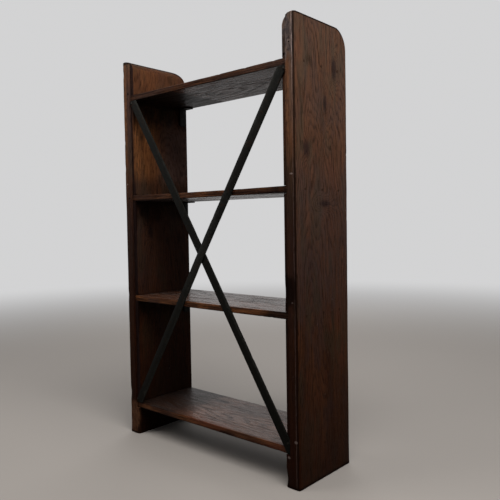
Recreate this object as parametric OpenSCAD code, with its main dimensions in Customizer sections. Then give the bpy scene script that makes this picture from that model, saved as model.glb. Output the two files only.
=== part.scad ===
// Open-backed bookcase of stained oak, in millimetres.
// The front faces -Y, the cross-braced back faces +Y, and the feet stand on Z = 0 about the origin.
// Left and right are as someone sees them who stands in front of the bookcase.

/* [End boards] */
// Height of the two end boards
board_h = 1200; // [700:1:1800]
// Depth of the end boards, front to back
board_depth = 236; // [180:1:400]
// Thickness of the end boards
board_t = 46; // [36:0.5:60]
// Radius of the rounded top corner at the front
corner_r = 58; // [10:1:90]
// Radius of the round-over along the inner edge of the top
top_round_r = 30; // [4:1:34]
// Radius of the softened outer edge at the back
arris_r = 7; // [1:0.5:10]

/* [Rebate for the straps] */
// Width of the rebate in the inner back edge of each end board
rebate_w = 14; // [12:0.5:20]
// Depth of that rebate
rebate_d = 7; // [7:0.5:16]

/* [Shelves] */
// Distance between the inner faces of the end boards
clear_w = 602; // [400:1:1000]
// Thickness of every shelf
shelf_t = 19; // [14:0.5:30]
// Height of the top of the bottom shelf
bottom_shelf_z = 104; // [50:1:160]
// Rise from the bottom shelf to the lower shelf
lower_rise = 348; // [240:1:420]
// Rise from the lower shelf to the upper shelf
upper_rise = 322; // [240:1:380]
// Rise from the upper shelf to the top shelf
top_rise = 319; // [240:1:380]
// Distance of the shelves behind the front edges of the end boards
shelf_setback = 3; // [0:0.5:12]
// Radius of the eased front edges of the shelves
shelf_edge_r = 3; // [1:0.5:6]

/* [Housing joints] */
// Depth of the housings that the shelf ends sit in
housing_d = 13; // [8:0.5:18]
// Length of board left uncut in front of each housing
housing_stop = 14; // [8:0.5:30]
// Clearance round a shelf end in its housing
housing_gap = 0.1; // [0.05:0.05:0.3]

/* [Brace straps] */
// Width of the flat iron straps
strap_w = 27; // [18:0.5:34]
// Thickness of the straps
strap_t = 3; // [2:0.25:4]
// Rise of the inner strap's middle line over the underside of the top shelf, at its screw
inner_strap_top = 8; // [-20:0.5:9]
// The same rise for the outer strap
outer_strap_top = 5; // [-20:0.5:9]
// Rise of the inner strap's middle line over the bottom shelf, at its screw
inner_strap_foot = 3; // [-8:0.5:20]
// The same rise for the outer strap
outer_strap_foot = -4; // [-8:0.5:20]
// How far the inner strap's foot runs down over the edge of the bottom shelf
strap_foot_over = 17; // [0:0.5:18]
// Gap between the two straps where they cross
lap_gap = 0.2; // [0.1:0.1:1]
// Clearance between a strap's end and the sides of the rebate
strap_end_gap = 1; // [0.5:0.25:2]
// Half length of the level middle of the outer strap
lap_half = 40; // [30:1:80]
// Length of strap that lies flat at each end
strap_flat = 70; // [50:1:120]

/* [Strap screws] */
// Shank diameter of the strap screws
strap_screw_d = 4; // [3:0.25:5]
// Diameter of their domed heads
strap_head_d = 8.5; // [7:0.25:10]
// Height of their domed heads
strap_head_h = 2.6; // [1.5:0.1:3.5]
// Length of the strap screws under the head
strap_screw_l = 26; // [16:1:32]
// Distance of a screw from the top or bottom shelf
strap_screw_end = 9; // [7:0.5:11]

/* [Corner brackets] */
// Length of a bracket's leg down the end board
bracket_down = 60; // [44:1:90]
// Length of a bracket's leg under the shelf
bracket_along = 45; // [38:1:80]
// Width of the brackets
bracket_w = 26; // [18:0.5:36]
// Thickness of the brackets
bracket_t = 3.5; // [2.5:0.25:5]
// Distance of the brackets behind the front edges of the shelves
bracket_inset = 6; // [4:1:40]
// Radius of the rounded corners at the ends of the legs
bracket_end_r = 6; // [3:0.5:8]
// Radius of the outer bend
bracket_bend_r = 3; // [1:0.5:3.5]

/* [Bracket screws] */
// Shank diameter of the bracket screws
bracket_screw_d = 3.6; // [3:0.1:4.5]
// Diameter of their countersunk heads
bracket_head_d = 7.6; // [6.5:0.1:9]
// Thickness of shelf left over the point of a bracket screw
screw_cover = 4; // [3:0.5:6]
// Distance of the outer screw from the end of its leg
bracket_screw_end = 9; // [8:0.5:12]
// Distance between the two screws of a leg
bracket_screw_pitch = 18; // [14:1:24]

/* [Screw slots] */
// Width of the slots in the screw heads
slot_w = 1; // [0.6:0.1:1.4]
// Depth of the slots in the screw heads
slot_depth = 1.1; // [0.6:0.1:1.4]

/* [Shelf nails] */
// Diameter of the nails through the end boards into the shelf ends
nail_d = 3; // [2.5:0.25:4]
// Diameter of the nail heads
nail_head_d = 5; // [4.5:0.25:6]
// Thickness of the nail heads
nail_head_t = 1.6; // [1:0.1:2.5]
// Depth of the stopping over a punched nail head
stopping_t = 4; // [2:0.5:6]
// Diameter of the punched holes that the stopping fills
stopping_d = 6; // [5.5:0.25:8]
// Length of nail inside the shelf
nail_grip = 38; // [20:1:60]
// Distance of the first and last nail from the ends of the housing
nail_margin = 32; // [20:1:60]

/* [Old nail holes] */
// Diameter of the old nail holes in the back edges
old_hole_d = 3.5; // [2:0.25:5]
// Depth of those holes
old_hole_depth = 9; // [4:0.5:20]

/* [Fits] */
// Clearance between a screw or nail and the wood round it
bore_gap = 0.05; // [0.02:0.01:0.2]
// Clearance between a screw and the iron round it
iron_gap = 0.3; // [0.15:0.05:0.5]
// Clearance under iron that is screwed down on wood
seat_gap = 0.05; // [0.02:0.01:0.2]

/* [Hidden] */
$fn = 48;

oak_outer = [0.27, 0.14, 0.09];
oak_shelf = [0.31, 0.16, 0.10];
iron_black = [0.11, 0.11, 0.10];
screw_black = [0.17, 0.16, 0.15];
nail_grey = [0.30, 0.29, 0.28];
wax_brown = [0.16, 0.08, 0.05];

// Past a face, so that a cut leaves no skin
over = 1;
front_y = -board_depth / 2;
back_y = board_depth / 2;
inner_x = clear_w / 2;
outer_x = inner_x + board_t;
floor_y = back_y - rebate_d;
shelf_front_y = front_y + shelf_setback;

lower_shelf_z = bottom_shelf_z + lower_rise;
upper_shelf_z = lower_shelf_z + upper_rise;
top_shelf_z = upper_shelf_z + top_rise;
shelf_zs = [bottom_shelf_z, lower_shelf_z, upper_shelf_z, top_shelf_z];

// Straps: the screws lie on the middle line of the rebate
fix_x = inner_x + rebate_w / 2;
wall_x = inner_x + rebate_w - strap_end_gap;
top_under_z = top_shelf_z - shelf_t;
strap_top_z = top_under_z - strap_end_gap;
outer_foot_z = bottom_shelf_z + strap_end_gap;
inner_foot_z = bottom_shelf_z - strap_foot_over;
foot_screw_z = bottom_shelf_z + strap_screw_end;
top_screw_z = top_under_z - strap_screw_end;
// Each end board's rebate starts where the strap's foot ends
right_rebate_z = bottom_shelf_z;
left_rebate_z = inner_foot_z - strap_end_gap;
strap_y = floor_y + seat_gap;
lap_rise = strap_t + lap_gap;
// The point of a screw or nail is a cone that ends in this share of the shank
point_share = 1 / 8;
// How far a shank reaches up into its head
root = 0.25;

// Bracket screws: their heads are cones as deep as the difference of the radii
bracket_head_h = (bracket_head_d - bracket_screw_d) / 2;
bracket_screw_l = shelf_t + bracket_t + seat_gap - screw_cover;
bracket_y = shelf_front_y + bracket_inset + bracket_w / 2;
bracket_levels = [lower_shelf_z, upper_shelf_z, top_shelf_z];

// Nails: from the punched hole, through the board and the end gap, into the shelf
nail_start_x = outer_x - stopping_t;
nail_end_x = inner_x - nail_grip;
nail_l = nail_start_x - nail_end_x;
nail_first_y = front_y + housing_stop + nail_margin;
nail_last_y = floor_y - nail_margin;
nail_ys = [nail_first_y, (nail_first_y + nail_last_y) / 2, nail_last_y];

// Old nail holes: each is its distance inwards from the outer face and its height
right_old_holes = [
    [13, top_shelf_z - shelf_t / 2],
    [22, top_shelf_z - shelf_t / 2 - 2],
    [14, upper_shelf_z - shelf_t / 2],
    [15, lower_shelf_z]
];
left_old_holes = [[24, top_shelf_z + 14]];

// A shape drawn for the right-hand side, or its mirror image on the left
module on_side(side) {
    if (side < 0) mirror([1, 0, 0]) children();
    else children();
}

// The outline of a flat leg that starts at the origin, with its far corners rounded
module plate_outline(length, width, r) {
    translate([0, -width / 2]) square([length - r, width]);
    translate([0, -width / 2 + r]) square([length, width - 2 * r]);
    for (s = [-1, 1]) translate([length - r, s * (width / 2 - r)]) circle(r);
}

// End boards

module board_profile() {
    translate([front_y, 0]) square([board_depth, board_h - corner_r]);
    translate([front_y + corner_r, 0]) square([board_depth - corner_r, board_h]);
    translate([front_y + corner_r, board_h - corner_r]) circle(corner_r, $fn = 96);
}

// What a round of radius r takes off the corner of a square block
module round_waste(r, length) {
    linear_extrude(length) difference() {
        square(r + over);
        circle(r);
    }
}

module board_blank() {
    difference() {
        translate([inner_x, 0, 0]) rotate([90, 0, 90]) linear_extrude(board_t) board_profile();
        // Round-over along the inner edge of the top
        translate([inner_x + top_round_r, back_y + over, board_h - top_round_r])
            rotate([90, 0, 0]) mirror([1, 0, 0]) round_waste(top_round_r, board_depth + 2 * over);
        // Softened outer edge at the back
        translate([outer_x - arris_r, back_y - arris_r, -over]) round_waste(arris_r, board_h + 2 * over);
    }
}

module housing(z) {
    cut_y = front_y + housing_stop - housing_gap;
    translate([inner_x - over, cut_y, z - shelf_t - housing_gap])
        cube([housing_d + housing_gap + over, back_y + over - cut_y, shelf_t + 2 * housing_gap]);
}

module end_board(rebate_z, old_holes) {
    difference() {
        board_blank();
        translate([inner_x - over, floor_y, rebate_z])
            cube([rebate_w + over, rebate_d + over, board_h]);
        for (z = shelf_zs) {
            housing(z);
            nail_bores(z, outer_x + over);
            punched_holes(z);
        }
        for (z = [foot_screw_z, top_screw_z])
            translate([fix_x, floor_y + over, z]) rotate([90, 0, 0])
                cylinder(h = strap_screw_l + over, d = strap_screw_d + 2 * bore_gap);
        for (z = bracket_levels) bracket_pilots(z);
        for (hole = old_holes)
            translate([outer_x - hole[0], back_y + over, hole[1]]) rotate([90, 0, 0])
                cylinder(h = old_hole_depth + over, d = old_hole_d);
    }
}

module left_end_board() {
    color(oak_outer) on_side(-1) end_board(left_rebate_z, left_old_holes);
}

module right_end_board() {
    color(oak_outer) on_side(1) end_board(right_rebate_z, right_old_holes);
}

// Shelves

module shelf_blank(z) {
    tongue_y = front_y + housing_stop;
    difference() {
        translate([-inner_x, shelf_front_y, z - shelf_t]) cube([clear_w, floor_y - shelf_front_y, shelf_t]);
        // Eased front edges
        for (top = [0, 1])
            translate([
                -inner_x - over,
                shelf_front_y + shelf_edge_r,
                top ? z - shelf_edge_r : z - shelf_t + shelf_edge_r
            ]) mirror([0, 0, 1 - top]) rotate([90, 0, 90]) mirror([1, 0, 0])
                round_waste(shelf_edge_r, clear_w + 2 * over);
    }
    translate([-inner_x - housing_d, tongue_y, z - shelf_t])
        cube([clear_w + 2 * housing_d, floor_y - tongue_y, shelf_t]);
}

module shelf(z, bracketed) {
    difference() {
        shelf_blank(z);
        for (side = [-1, 1]) on_side(side) {
            nail_bores(z, inner_x + housing_d + over);
            if (bracketed) bracket_pilots(z);
        }
    }
}

module top_shelf() {
    color(oak_shelf) shelf(top_shelf_z, true);
}

module upper_shelf() {
    color(oak_shelf) shelf(upper_shelf_z, true);
}

module lower_shelf() {
    color(oak_shelf) shelf(lower_shelf_z, true);
}

module bottom_shelf() {
    color(oak_shelf) shelf(bottom_shelf_z, false);
}

// Brace straps

// A flat bar whose middle line runs from the foot in the left rebate to the top in the right one
module strap_bar(foot_mid, top_mid, rise) {
    run_x = 2 * fix_x;
    run_z = top_mid - foot_mid;
    half = norm([run_x, run_z]) / 2;
    bend = half - strap_flat;
    reach = half + 2 * board_t;
    translate([0, strap_y, (top_mid + foot_mid) / 2])
        rotate([0, -atan2(run_z, run_x), 0])
            translate([0, 0, -strap_w / 2]) linear_extrude(strap_w) polygon([
                [-reach, 0], [-bend, 0], [-lap_half, rise], [lap_half, rise], [bend, 0], [reach, 0],
                [reach, strap_t], [bend, strap_t], [lap_half, rise + strap_t],
                [-lap_half, rise + strap_t], [-bend, strap_t], [-reach, strap_t]
            ]);
}

// The strap with its ends cut upright along the rebates and level at the shelves
module brace_strap(foot_rise, top_rise, foot_z, rise) {
    difference() {
        intersection() {
            strap_bar(bottom_shelf_z + foot_rise, top_under_z + top_rise, rise);
            translate([-wall_x, floor_y, foot_z]) cube([2 * wall_x, 2 * rebate_d, strap_top_z - foot_z]);
        }
        at_strap_screws()
            translate([0, floor_y - over, 0]) rotate([-90, 0, 0])
                cylinder(h = strap_t + rebate_d, d = strap_screw_d + 2 * iron_gap);
    }
}

// A strap is screwed down at its foot on the left and at its top on the right
module at_strap_screws() {
    translate([-fix_x, 0, foot_screw_z]) children();
    translate([fix_x, 0, top_screw_z]) children();
}

// A domed wood screw with its head at y = 0 and up, and its shank along -Y
module strap_screw() {
    dome_r = (pow(strap_head_d / 2, 2) + pow(strap_head_h, 2)) / (2 * strap_head_h);
    difference() {
        intersection() {
            translate([0, strap_head_h - dome_r, 0]) sphere(dome_r, $fn = 64);
            rotate([-90, 0, 0]) cylinder(h = strap_head_h, d = strap_head_d);
        }
        translate([-strap_head_d, strap_head_h - slot_depth, -slot_w / 2])
            cube([2 * strap_head_d, slot_depth + over, slot_w]);
    }
    translate([0, root, 0]) rotate([90, 0, 0])
        cylinder(h = strap_screw_l - strap_screw_d + root, d = strap_screw_d);
    translate([0, strap_screw_d - strap_screw_l, 0]) rotate([90, 0, 0])
        cylinder(h = strap_screw_d, d1 = strap_screw_d, d2 = strap_screw_d * point_share);
}

module strap_screws() {
    at_strap_screws() translate([0, strap_y + strap_t + seat_gap, 0]) strap_screw();
}

module inner_brace_strap() {
    color(iron_black) on_side(1) brace_strap(inner_strap_foot, inner_strap_top, inner_foot_z, 0);
}

module outer_brace_strap() {
    color(iron_black) on_side(-1) brace_strap(outer_strap_foot, outer_strap_top, outer_foot_z, lap_rise);
}

module inner_strap_screws() {
    color(screw_black) on_side(1) strap_screws();
}

module outer_strap_screws() {
    color(screw_black) on_side(-1) strap_screws();
}

// Corner brackets under the shelves

// Puts a leg's own frame, length along x and thickness along z, under a shelf or down a board
module along_shelf(z) {
    translate([inner_x - seat_gap, bracket_y, z - shelf_t - seat_gap]) rotate([180, 0, 180]) children();
}

module down_board(z) {
    translate([inner_x - seat_gap, bracket_y, z - shelf_t - seat_gap]) rotate([0, 90, 180]) children();
}

function leg_screw_xs(length) =
    [length - bracket_screw_end, length - bracket_screw_end - bracket_screw_pitch];

module leg(length) {
    hole_d = bracket_screw_d + 2 * iron_gap;
    sink_d = bracket_head_d + 2 * iron_gap;
    difference() {
        linear_extrude(bracket_t) plate_outline(length, bracket_w, bracket_end_r);
        for (x = leg_screw_xs(length)) translate([x, 0, 0]) {
            translate([0, 0, -over]) cylinder(h = bracket_t + 2 * over, d = hole_d);
            translate([0, 0, bracket_t - bracket_head_h])
                cylinder(h = bracket_head_h, d1 = hole_d, d2 = sink_d);
            translate([0, 0, bracket_t]) cylinder(h = over, d = sink_d);
        }
    }
}

module bracket(z) {
    difference() {
        union() {
            along_shelf(z) leg(bracket_along);
            down_board(z) leg(bracket_down);
        }
        // The outer bend
        translate([
            inner_x - seat_gap - bracket_bend_r,
            bracket_y + bracket_w / 2 + over,
            z - shelf_t - seat_gap - bracket_bend_r
        ]) rotate([90, 0, 0]) round_waste(bracket_bend_r, bracket_w + 2 * over);
    }
}

// A countersunk screw: its head's top at z = 0, its shank along -Z
module bracket_screw() {
    shank_l = bracket_screw_l - bracket_screw_d - bracket_head_h;
    difference() {
        translate([0, 0, -bracket_head_h])
            cylinder(h = bracket_head_h, d1 = bracket_screw_d, d2 = bracket_head_d);
        translate([-bracket_head_d, -slot_w / 2, -slot_depth])
            cube([2 * bracket_head_d, slot_w, slot_depth + over]);
    }
    translate([0, 0, bracket_screw_d - bracket_screw_l])
        cylinder(h = shank_l + root, d = bracket_screw_d);
    translate([0, 0, -bracket_screw_l])
        cylinder(h = bracket_screw_d, d1 = bracket_screw_d * point_share, d2 = bracket_screw_d);
}

// The bores that the four screws of a bracket need in the wood
module bracket_pilots(z) {
    along_shelf(z) for (x = leg_screw_xs(bracket_along)) pilot(x);
    down_board(z) for (x = leg_screw_xs(bracket_down)) pilot(x);
}

module pilot(x) {
    depth = bracket_screw_l - bracket_t;
    translate([x, 0, -depth - bore_gap]) cylinder(h = depth + bore_gap, d = bracket_screw_d + 2 * bore_gap);
}

module leg_screws(length) {
    for (x = leg_screw_xs(length)) translate([x, 0, bracket_t]) bracket_screw();
}

module bracket_screws(z) {
    for (side = [-1, 1]) on_side(side) {
        along_shelf(z) leg_screws(bracket_along);
        down_board(z) leg_screws(bracket_down);
    }
}

module top_left_bracket() {
    color(iron_black) on_side(-1) bracket(top_shelf_z);
}

module top_right_bracket() {
    color(iron_black) on_side(1) bracket(top_shelf_z);
}

module upper_left_bracket() {
    color(iron_black) on_side(-1) bracket(upper_shelf_z);
}

module upper_right_bracket() {
    color(iron_black) on_side(1) bracket(upper_shelf_z);
}

module lower_left_bracket() {
    color(iron_black) on_side(-1) bracket(lower_shelf_z);
}

module lower_right_bracket() {
    color(iron_black) on_side(1) bracket(lower_shelf_z);
}

module top_bracket_screws() {
    color(screw_black) bracket_screws(top_shelf_z);
}

module upper_bracket_screws() {
    color(screw_black) bracket_screws(upper_shelf_z);
}

module lower_bracket_screws() {
    color(screw_black) bracket_screws(lower_shelf_z);
}

// Shelf nails and the stopping over their heads

// Bores for the nail shanks of one shelf end, from inside the shelf to x = start
module nail_bores(z, start) {
    for (y = nail_ys) translate([nail_end_x - bore_gap, y, z - shelf_t / 2]) rotate([0, 90, 0])
        cylinder(h = start - nail_end_x + bore_gap, d = nail_d + 2 * bore_gap);
}

// The wider holes in the outer face, down to the undersides of the nail heads
module punched_holes(z) {
    mouth_x = nail_start_x - nail_head_t - bore_gap;
    for (y = nail_ys) translate([mouth_x, y, z - shelf_t / 2]) rotate([0, 90, 0])
        cylinder(h = outer_x + over - mouth_x, d = stopping_d + 2 * bore_gap);
}

module nail() {
    rotate([0, -90, 0]) {
        cylinder(h = nail_head_t, d = nail_head_d);
        translate([0, 0, nail_head_t - root]) cylinder(h = nail_l - nail_d - nail_head_t + root, d = nail_d);
        translate([0, 0, nail_l - nail_d]) cylinder(h = nail_d, d1 = nail_d, d2 = nail_d * point_share);
    }
}

module shelf_nails() {
    for (z = shelf_zs)
        for (y = nail_ys) translate([nail_start_x, y, z - shelf_t / 2]) nail();
}

module nail_stoppings() {
    for (z = shelf_zs)
        for (y = nail_ys) translate([nail_start_x + seat_gap, y, z - shelf_t / 2]) rotate([0, 90, 0])
            cylinder(h = stopping_t - seat_gap, d = stopping_d);
}

module left_shelf_nails() {
    color(nail_grey) on_side(-1) shelf_nails();
}

module right_shelf_nails() {
    color(nail_grey) on_side(1) shelf_nails();
}

module left_nail_stoppings() {
    color(wax_brown) on_side(-1) nail_stoppings();
}

module right_nail_stoppings() {
    color(wax_brown) on_side(1) nail_stoppings();
}

left_end_board();
right_end_board();
top_shelf();
upper_shelf();
lower_shelf();
bottom_shelf();
inner_brace_strap();
outer_brace_strap();
inner_strap_screws();
outer_strap_screws();
top_left_bracket();
top_right_bracket();
upper_left_bracket();
upper_right_bracket();
lower_left_bracket();
lower_right_bracket();
top_bracket_screws();
upper_bracket_screws();
lower_bracket_screws();
left_shelf_nails();
right_shelf_nails();
left_nail_stoppings();
right_nail_stoppings();
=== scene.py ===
"""Looks of the open bookcase: worn dark oak boards and shelves, old iron straps and brackets."""
import itertools
import math

import bmesh
import bpy
import numpy as np
from mathutils import Matrix, Vector


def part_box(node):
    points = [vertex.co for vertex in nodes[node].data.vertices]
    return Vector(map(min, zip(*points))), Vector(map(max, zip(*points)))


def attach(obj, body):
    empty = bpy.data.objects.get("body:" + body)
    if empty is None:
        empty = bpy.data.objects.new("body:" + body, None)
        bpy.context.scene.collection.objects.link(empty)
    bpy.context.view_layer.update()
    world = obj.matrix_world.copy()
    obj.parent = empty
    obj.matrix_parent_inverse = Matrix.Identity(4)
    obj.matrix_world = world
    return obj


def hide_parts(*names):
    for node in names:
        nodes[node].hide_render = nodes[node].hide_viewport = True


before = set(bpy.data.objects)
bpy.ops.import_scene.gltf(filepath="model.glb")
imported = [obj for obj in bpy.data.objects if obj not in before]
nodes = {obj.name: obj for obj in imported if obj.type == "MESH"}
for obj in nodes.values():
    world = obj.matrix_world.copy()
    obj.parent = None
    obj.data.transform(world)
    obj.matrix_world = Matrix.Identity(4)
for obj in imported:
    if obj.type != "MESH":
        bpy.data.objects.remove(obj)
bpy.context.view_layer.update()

# Sizes in metres, read from the CAD model where it has them. An end board is drawn for the +X side and
# mirrored for the other one. Left and right are as someone sees them who stands in front.
RIGHT, LEFT = 1, -1
BOARD_LO, BOARD_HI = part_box("right_end_board")
IN_X, OUT_X = BOARD_LO.x, BOARD_HI.x
FRONT_Y, BACK_Y, HIGH = BOARD_LO.y, BOARD_HI.y, BOARD_HI.z
BOARD_T = OUT_X - IN_X
SHELVES = ["bottom_shelf", "lower_shelf", "upper_shelf", "top_shelf"]
BOTTOM, LOWER, UPPER, TOP = range(4)
SHELF_Z = [(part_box(s)[0].z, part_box(s)[1].z) for s in SHELVES]
FLOOR_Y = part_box("top_shelf")[1].y      # floor of the rebate, flush with the shelves' back edges
REBATE_W = 0.014
REBATE_Z = {RIGHT: SHELF_Z[BOTTOM][1], LEFT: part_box("inner_brace_strap")[0].z - 0.001}
CORNER_R, TOP_ROUND, ARRIS = 0.058, 0.030, 0.007
END_ARRIS = 0.0026                      # rounding of the board's top
FOOT_ARRIS = END_ARRIS * 0.8            # and the height of the same rounding at its foot
SKIN = 0.0001                           # unit of the margin that the meshes keep inside the CAD model
FRONT_ARRIS = 0.0022
LIP = 0.0012                            # rounding of the rebate floor's inner edge
APART = 0.0001                          # keeps the points of a section from meeting
INNER_ROUND = 0.006                     # rounding of the inner back edge, below the rebate
TOP_ARRIS, LOW_ARRIS = 0.0024, 0.0014   # of the shelves
HOUSING_DEPTH, HOUSING_STOP, HOUSING_PLAY = 0.0134, 0.0136, 0.0004
TONGUE_Y = 0.0142                       # from the boards' front to the part of a shelf that is housed
NAIL_HOLE_R, PUNCH_R, PUNCH_DEPTH, PLUG_R = 0.00185, 0.00306, 0.0042, 0.003
BEYOND = 0.01                           # how far a cutter reaches past the wood
STRAP_HALF = 0.0135
IRON_EASE = 0.0005

# Blind old nail holes of the back edges: from the outer face, height
NAIL_HOLES = {
    RIGHT: [(0.013, SHELF_Z[TOP][1] - 0.0095), (0.022, SHELF_Z[TOP][1] - 0.0115),
            (0.014, SHELF_Z[UPPER][1] - 0.0095), (0.015, SHELF_Z[LOWER][1])],
    LEFT: [(0.024, SHELF_Z[TOP][1] + 0.014)],
}
REBATE_HOLE = (0.0405, 1.1015, 0.0022)  # in the left board's rebate; the same, and its radius
# Knocks of the boards: from the outer face, from the back, height, radius, depth
KNOCKS = {
    LEFT: [(0.020, 0.0, 1.135, 0.006, 0.0022), (0.036, 0.0, 0.50, 0.024, 0.0030),
           (0.012, 0.0, 0.455, 0.012, 0.0016), (0.046, 0.0, 0.02, 0.018, 0.0035),
           (0.010, 0.0, 0.80, 0.007, 0.0012), (0.008, 0.0, 0.112, 0.007, 0.0014),
           (0.038, 0.0, 0.066, 0.008, 0.0030), (0.0, 0.13, 0.93, 0.010, 0.0008),
           (0.0, 0.06, 0.40, 0.008, 0.0008)],
    RIGHT: [(0.0, 0.0, 1.16, 0.010, 0.0018), (0.0, 0.0, 0.86, 0.010, 0.0014),
            (0.004, 0.0, 0.13, 0.014, 0.002), (0.046, 0.0, 0.015, 0.016, 0.003),
            (0.0, 0.0, 0.45, 0.012, 0.0016), (0.026, 0.0, 0.88, 0.006, 0.0012)],
}
KNOCK_STRETCH = np.array([1, 1, 1.8])   # a knock is longer along the grain
DEEP_KNOCK = 0.002                      # a deeper one has gathered dirt
DAMAGE_Z = 0.505                        # the dark damaged patch of the left board's back edge
STAIN_Y, STAIN_Z = -0.045, 1.085        # a stain on its outer face
# Pale chips of the back edges: from the outer face, height, half width, half height, strength
CHIPS = {
    LEFT: [(0.0195, 1.131, 0.0050, 0.0030, 0.25), (0.0156, 0.802, 0.0062, 0.0026, 0.42),
           (0.0177, 0.4785, 0.0040, 0.0026, 0.5), (0.0110, 0.1236, 0.0060, 0.0050, 0.28),
           (0.0344, 0.0788, 0.0060, 0.0040, 0.28)],
    RIGHT: [(0.0143, 0.8098, 0.0035, 0.0030, 0.35), (0.0060, 1.185, 0.0060, 0.0040, 0.3)],
}
# Pits and old nail holes of the back edges, painted near black as painted shade inside them: from the outer face,
# height, radius
PITS = {
    LEFT: [(0.0392, 1.1010, 0.0052), (0.0185, 1.1265, 0.0024)],
    RIGHT: [(0.0270, 1.0966, 0.0045), (0.0230, 0.7650, 0.0036), (0.0150, 0.4520, 0.0030)],
}


# -------------------- noise for the meshes

def hash3(ix, iy, iz, seed):
    """A number from 0 to 1 for each cell, always the same for the same seed."""
    h = (ix * 374761393 + iy * 668265263 + iz * 2147483647 + seed * 974634777) & 0xFFFFFFFF
    h = ((h ^ (h >> 13)) * 1274126177) & 0xFFFFFFFF
    h = h ^ (h >> 16)
    return (h & 0xFFFF) / 65535.0


def noise(p, size, seed):
    """Smooth noise from -1 to 1 at points p (n x 3, metres) with cells of the given sizes."""
    q = np.asarray(p, float) / np.asarray(size, float)
    cell = np.floor(q).astype(np.int64)
    f = q - cell
    f = f * f * (3 - 2 * f)
    out = np.zeros(len(q))
    for corner in itertools.product((0, 1), repeat=3):
        weight = np.prod(np.where(corner, f, 1 - f), axis=1)
        out += weight * hash3(*(cell + corner).T, seed)
    return out * 2 - 1


def cloud(p, size, seed):
    """The same noise, from 0 to 1."""
    return 0.5 + 0.5 * noise(p, size, seed)


def smooth(a, b, x):
    """0 at a, 1 at b and a smooth step between them, whichever is larger."""
    t = np.clip((x - a) / (b - a), 0, 1)
    return t * t * (3 - 2 * t)


# -------------------- mesh helpers

def loft(name, rings):
    """A closed solid from rings of equally many points, in order along the loft."""
    m = len(rings[0])
    bm = bmesh.new()
    vs = [bm.verts.new(v) for v in np.concatenate(rings)]
    for a in range(0, len(vs) - m, m):
        b = a + m
        for j in range(m):
            k = (j + 1) % m
            bm.faces.new((vs[a + j], vs[a + k], vs[b + k], vs[b + j]))
    bm.faces.new(vs[:m][::-1])
    bm.faces.new(vs[-m:])
    bmesh.ops.recalc_face_normals(bm, faces=bm.faces)
    me = bpy.data.meshes.new(name)
    bm.to_mesh(me)
    bm.free()
    return me


def attribute(me, name, values):
    """Stores a value from 0 to 1 for each vertex, which the materials read."""
    a = me.attributes.new(name, "FLOAT", "POINT")
    a.data.foreach_set("value", np.asarray(np.clip(values, 0, 1), np.float32))


def vertex_values(me, what):
    """The vertices' places ("co") or normals ("normal"), n x 3."""
    out = np.zeros(len(me.vertices) * 3)
    me.vertices.foreach_get(what, out)
    return out.reshape(-1, 3)


def set_coords(me, co):
    me.vertices.foreach_set("co", np.asarray(co, np.float32).ravel())
    me.update()


def add(name, me, material, node, smooth_angle=35):
    """Puts a mesh in the scene as a piece that stands in for a CAD node."""
    ob = bpy.data.objects.new(name, me)
    bpy.context.scene.collection.objects.link(ob)
    me.materials.clear()
    me.materials.append(material)
    me.polygons.foreach_set("use_smooth", [True] * len(me.polygons))
    me.set_sharp_from_angle(angle=math.radians(smooth_angle))
    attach(ob, "root")
    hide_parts(node)
    return ob


def cut(me, cutters):
    """The mesh with the cutters' shapes taken away."""
    a = bpy.data.objects.new("cut_a", me)
    b = bpy.data.objects.new("cut_b", cutters)
    for o in (a, b):
        bpy.context.scene.collection.objects.link(o)
    m = a.modifiers.new("cut", "BOOLEAN")
    m.operation, m.solver, m.object = "DIFFERENCE", "MANIFOLD", b
    bpy.context.view_layer.update()
    out = bpy.data.meshes.new_from_object(a.evaluated_get(bpy.context.evaluated_depsgraph_get()))
    for o in (a, b):
        bpy.data.objects.remove(o)
    return out


def cylinder(bm, axis, ends, centre, r, n):
    """A closed cylinder along x (axis 0) or y (axis 1); centre: its other two coordinates."""
    rings = []
    for end in ends:
        points = [[centre[0] + r * math.cos(t), centre[1] + r * math.sin(t)]
                  for t in np.linspace(0, 2 * math.pi, n, endpoint=False)]
        for p in points:
            p.insert(axis, end)
        rings.append([bm.verts.new(p) for p in points])
    for j in range(n):
        k = (j + 1) % n
        bm.faces.new((rings[0][j], rings[0][k], rings[1][k], rings[1][j]))
    bm.faces.new(rings[0][::-1])
    bm.faces.new(rings[1])


# -------------------- materials

DARK = (0.017, 0.0058, 0.0030)
MID = (0.055, 0.0195, 0.0092)
LIGHT = (0.120, 0.046, 0.0205)
WORN = (0.175, 0.132, 0.118)
SHELF_WORN = (0.128, 0.114, 0.102)
AMBER_AND_LIGHT = (0.26, 0.098, 0.034)
TOP_SHEEN = (0.088, 0.062, 0.051)
PURPLED = (0.040, 0.027, 0.027)
FOXED = (0.105, 0.030, 0.014)
FOOT_SHADE = (0.0095, 0.0021, 0.0005)
PALE_RUB = (0.40, 0.305, 0.28)
OLIVE = (0.050, 0.037, 0.020)
REBATE_SHADE = (0.0135, 0.0078, 0.0082)
EDGE_SHADE = (0.0100, 0.0026, 0.0014)
FOOT_RUB = (0.095, 0.042, 0.021)
HOLE_SHADE = (0.0008, 0.0006, 0.0006)
SLATE = (0.036, 0.033, 0.036)
OCHRE = (0.150, 0.082, 0.045)
BAY_SKIN = (0.118, 0.070, 0.058)
TRAY_FACE = (0.084, 0.033, 0.0165)
WAX_LIGHT = (0.048, 0.026, 0.017)
KNOT = (0.0150, 0.0088, 0.0090)
NAIL_SPOT = (0.12, 0.05, 0.025)


def toned(color, k):
    """A colour made k times as bright."""
    return tuple(c * k for c in color)


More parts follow.
